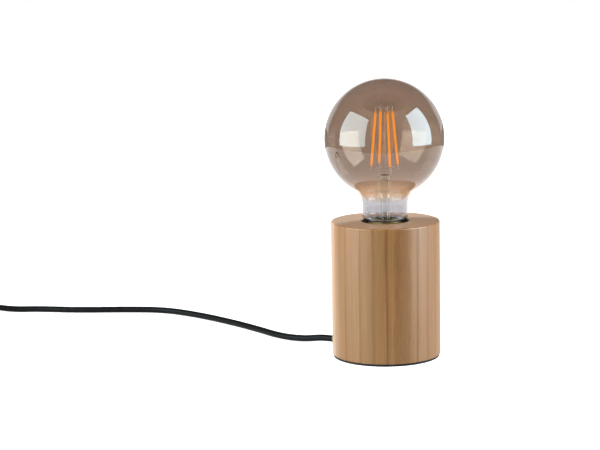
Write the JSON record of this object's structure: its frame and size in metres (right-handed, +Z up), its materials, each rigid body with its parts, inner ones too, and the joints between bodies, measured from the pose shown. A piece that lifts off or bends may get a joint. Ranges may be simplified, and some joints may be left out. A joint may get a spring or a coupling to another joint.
{
  "type": "bare bulb table lamp",
  "caption": "Bare bulb table lamp: a turned wood cylinder with a sunk screw lampholder, a tinted globe bulb with upright filaments, and a black cord with an in-line switch and a flat plug.",
  "frame": {"origin": "centre of the underside of the pad under the wood cylinder", "axes": "+Z up along the lamp's axis, +X to the right of the pictured view, +Y to the back; the cord leaves at the back left"},
  "size_m": [0.5771, 0.2325, 0.2243],
  "materials": {
    "wood": "planed and lightly oiled, satin",
    "pad": "matt",
    "zinc_steel": "zinc plated",
    "holder_plastic": "matt moulded",
    "bushing_plastic": "matt moulded",
    "cord_sheath": "satin",
    "core_brown": "satin",
    "core_blue": "satin",
    "insert_ceramic": "unglazed",
    "brass": "plain",
    "tinted_glass": "smooth, smoked amber",
    "clear_glass": "smooth, clear",
    "nickel": "nickel plated",
    "filament_coat": "satin silicone",
    "cement": "matt",
    "insulator_glass": "gloss",
    "board": "satin",
    "switch_plastic": "satin moulded",
    "rocker_plastic": "semi gloss",
    "plug_plastic": "satin moulded"
  },
  "bodies": {
    "lamp": {"wood_body": "wood", "base_pad": "pad", "cover_plate": "zinc_steel", "cover_screws": "zinc_steel", "cord_bushing": "bushing_plastic", "clamp_pad": "pad", "clamp_saddle": "zinc_steel", "clamp_screws": "zinc_steel", "inner_flex": "cord_sheath", "core_live": "core_brown", "core_neutral": "core_blue", "holder_skirt": "holder_plastic", "holder_dome": "holder_plastic", "contact_insert": "insert_ceramic", "screw_shell": "brass", "centre_contact": "brass", "side_contact": "brass", "terminal_live": "brass", "terminal_neutral": "brass", "terminal_screws": "zinc_steel", "threaded_nipple": "zinc_steel", "nipple_washer": "zinc_steel", "nipple_nut": "zinc_steel", "switch_base": "switch_plastic", "switch_cover": "switch_plastic", "switch_contact_in": "brass", "switch_contact_out": "brass", "switch_screws": "zinc_steel", "plug_body": "plug_plastic", "plug_pin_left": "nickel", "plug_pin_right": "nickel", "cord_to_switch": "cord_sheath", "cord_from_switch": "cord_sheath", "cord_coil": "cord_sheath", "cord_to_plug": "cord_sheath"},
    "bulb_carrier": {"cap_contact": "brass"},
    "bulb": {"glass_envelope": "tinted_glass", "stem_glass": "clear_glass", "centre_rod": "clear_glass", "support_wires": "nickel", "filament_1": "filament_coat", "filament_2": "filament_coat", "filament_3": "filament_coat", "filament_4": "filament_coat", "filament_tabs": "nickel", "lead_wires": "nickel", "lead_in_wires": "nickel", "screw_cap": "brass", "cap_cement": "cement", "cap_insulator": "insulator_glass", "driver_board": "board"},
    "rocker": {"switch_rocker": "rocker_plastic"}
  },
  "joints": [
    {"name": "bulb_lift", "type": "slide", "parent": "lamp", "child": "bulb_carrier", "axis": [0, 0, 1], "range_m": [0, 0.0146]},
    {"name": "bulb_turn", "type": "hinge", "parent": "bulb_carrier", "child": "bulb", "pos_m": [0, 0, 0.15], "axis": [0, 0, 1], "range_deg": [0, 1440]},
    {"name": "rocker_tilt", "type": "hinge", "parent": "lamp", "child": "rocker", "pos_m": [-0.407, 0.172, 0.0136], "axis": [0, 1, 0], "range_deg": [0, 16]}
  ],
  "couplings": [
    {"joint": "bulb_lift", "follows": "bulb_turn", "m_per_rad": 0.00057757}
  ]
}
